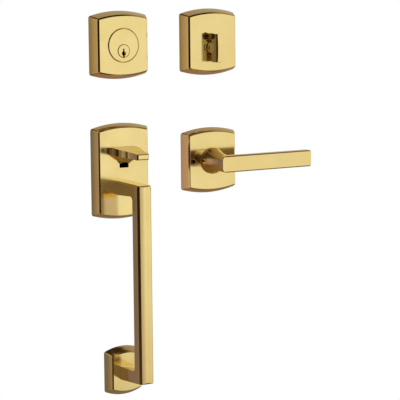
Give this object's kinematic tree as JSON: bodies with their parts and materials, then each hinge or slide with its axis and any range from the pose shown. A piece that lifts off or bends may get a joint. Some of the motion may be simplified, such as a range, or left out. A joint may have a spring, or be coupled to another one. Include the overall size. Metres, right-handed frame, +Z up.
{
  "type": "entry door handleset",
  "caption": "Arched-rose handleset laid out on a door face: deadbolt cylinder, thumbturn, thumb-piece grip handle and inside lever, in polished brass.",
  "frame": {"origin": "where the latch axis of the grip handle's escutcheon meets the door face, midway between its two tapped posts", "axes": "+X across the door towards the inside column, +Y into the door away from the viewer, +Z up"},
  "size_m": [0.228, 0.0967, 0.3852],
  "materials": {
    "polished_brass": "polished, lacquered",
    "satin_brass": "turned, unpolished",
    "steel": "zinc plated",
    "spring_steel": "oiled",
    "dark_brass": "burnished dark",
    "nylon": "moulded, black"
  },
  "bodies": {
    "root": {"deadbolt_cover": "polished_brass", "cylinder_body": "polished_brass", "driver_pins": "steel", "pin_springs": "spring_steel", "pin_cover": "satin_brass", "turn_cover": "polished_brass", "turn_plate": "steel", "turn_washer": "nylon", "turn_screws": "dark_brass", "escutcheon": "polished_brass", "thumb_pivot": "steel", "thumb_bracket": "steel", "slot_liner": "nylon", "bracket_screws": "steel", "thumb_spring": "spring_steel", "grip": "polished_brass", "grip_bolt": "steel", "escutcheon_posts": "satin_brass", "lower_rose": "polished_brass", "lower_plate": "steel", "lower_bolt": "steel", "lower_nut": "steel", "lever_cover": "polished_brass", "lever_bushing": "nylon", "lever_plate": "steel", "lever_spring": "spring_steel", "lever_screws": "dark_brass"},
    "plug": {"key_plug": "polished_brass", "key_pins": "satin_brass", "plug_cap": "satin_brass", "tailpiece": "steel"},
    "turn": {"thumbturn": "polished_brass", "turn_spindle": "steel", "turn_clip": "spring_steel"},
    "thumb": {"thumb_lever": "polished_brass"},
    "lever": {"lever_handle": "polished_brass", "lever_spindle": "steel", "lever_set_screw": "spring_steel", "drive_plate": "steel", "lever_clip": "spring_steel"}
  },
  "joints": [
    {"name": "plug_turn", "type": "hinge", "parent": "root", "child": "plug", "pos_m": [0, 0, 0.1147], "axis": [0, 1, 0], "range_deg": [-90, 90]},
    {"name": "thumbturn_turn", "type": "hinge", "parent": "root", "child": "turn", "pos_m": [0.1015, 0, 0.1147], "axis": [0, 1, 0], "range_deg": [-90, 90]},
    {"name": "thumb_press", "type": "hinge", "parent": "root", "child": "thumb", "pos_m": [0, 0.004, 0.006], "axis": [1, 0, 0], "range_deg": [0, 12], "stiffness_Nm_per_rad": 0.6, "springref_deg": -6.88},
    {"name": "lever_turn", "type": "hinge", "parent": "root", "child": "lever", "pos_m": [0.1015, 0, 0], "axis": [0, 1, 0], "range_deg": [-45, 45], "stiffness_Nm_per_rad": 1.5, "springref_deg": -2.86}
  ]
}
